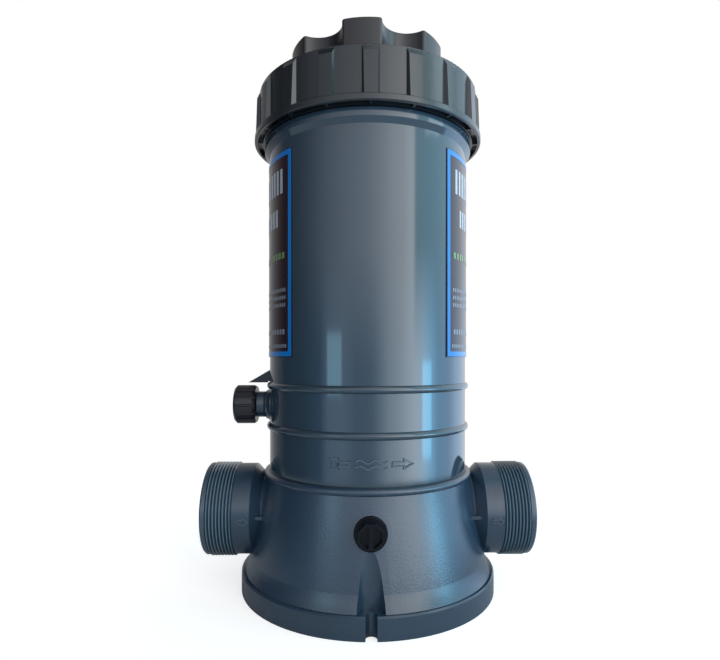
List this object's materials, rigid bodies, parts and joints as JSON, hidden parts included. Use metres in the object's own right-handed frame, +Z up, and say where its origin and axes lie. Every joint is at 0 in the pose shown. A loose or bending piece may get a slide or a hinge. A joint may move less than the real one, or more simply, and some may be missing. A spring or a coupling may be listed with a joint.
{
  "type": "inline pool chlorinator",
  "caption": "Upright inline tablet chlorinator with a flared base, threaded side ports, ribbed lock ring, lobed lid, control valve and drain plug.",
  "frame": {"origin": "centre of the base's underside, on the vessel's vertical axis", "axes": "+Z up along the vessel, -Y towards the front with the drain plug, +X towards the outlet port"},
  "size_m": [0.234, 0.1838, 0.3868],
  "materials": {
    "tank_plastic": "glossy slate grey moulded plastic",
    "base_plastic": "satin, finely textured slate grey plastic",
    "ring_plastic": "semi-matt charcoal plastic",
    "lid_plastic": "semi-matt dark brown-grey plastic",
    "black_plastic": "black plastic",
    "inner_plastic": "plain grey plastic",
    "grid_plastic": "off-white plastic",
    "seal_rubber": "black rubber",
    "screw_steel": "stainless steel",
    "label_film": "printed film, near black with a blue border"
  },
  "bodies": {
    "vessel": {"base": "base_plastic", "tank": "tank_plastic", "pickup_tube": "inner_plastic", "feed_riser": "inner_plastic", "outlet_tube": "inner_plastic", "standpipe": "inner_plastic", "tablet_grid": "grid_plastic", "valve_body": "base_plastic", "valve_gasket": "seal_rubber", "valve_pointer": "black_plastic", "left_label": "label_film", "right_label": "label_film"},
    "check_ball": {"check_ball": "seal_rubber"},
    "stem_seals": {"stem_o_rings": "seal_rubber"},
    "valve": {"valve_stem": "inner_plastic", "valve_knob": "black_plastic", "knob_screw": "screw_steel"},
    "drain_seal": {"drain_o_ring": "seal_rubber"},
    "drain": {"drain_plug": "black_plastic"},
    "cover": {"lid": "lid_plastic", "lid_o_ring": "seal_rubber"},
    "clamp": {"lock_ring": "ring_plastic"}
  },
  "joints": [
    {"name": "ball_lift", "type": "slide", "parent": "vessel", "child": "check_ball", "axis": [0, 0, 1], "range_m": [0, 0.005]},
    {"name": "valve_travel", "type": "slide", "parent": "vessel", "child": "stem_seals", "axis": [-1, 0, 0], "range_m": [0, 0.004]},
    {"name": "valve_turn", "type": "hinge", "parent": "stem_seals", "child": "valve", "pos_m": [-0.09, 0, 0.131], "axis": [-1, 0, 0], "range_deg": [0, 720]},
    {"name": "drain_travel", "type": "slide", "parent": "vessel", "child": "drain_seal", "axis": [0, -1, 0], "range_m": [0, 0.021]},
    {"name": "drain_turn", "type": "hinge", "parent": "drain_seal", "child": "drain", "pos_m": [0, -0.08, 0.0586], "axis": [0, -1, 0], "range_deg": [0, 2520]},
    {"name": "lid_lift", "type": "slide", "parent": "vessel", "child": "cover", "axis": [0, 0, 1], "range_m": [0, 0.15]},
    {"name": "ring_turn", "type": "hinge", "parent": "cover", "child": "clamp", "pos_m": [0, 0, 0.338], "axis": [0, 0, 1], "range_deg": [0, 720]}
  ],
  "couplings": [
    {"joint": "valve_travel", "follows": "valve_turn", "m_per_rad": 0.0003183},
    {"joint": "drain_travel", "follows": "drain_turn", "m_per_rad": 0.00047746}
  ]
}
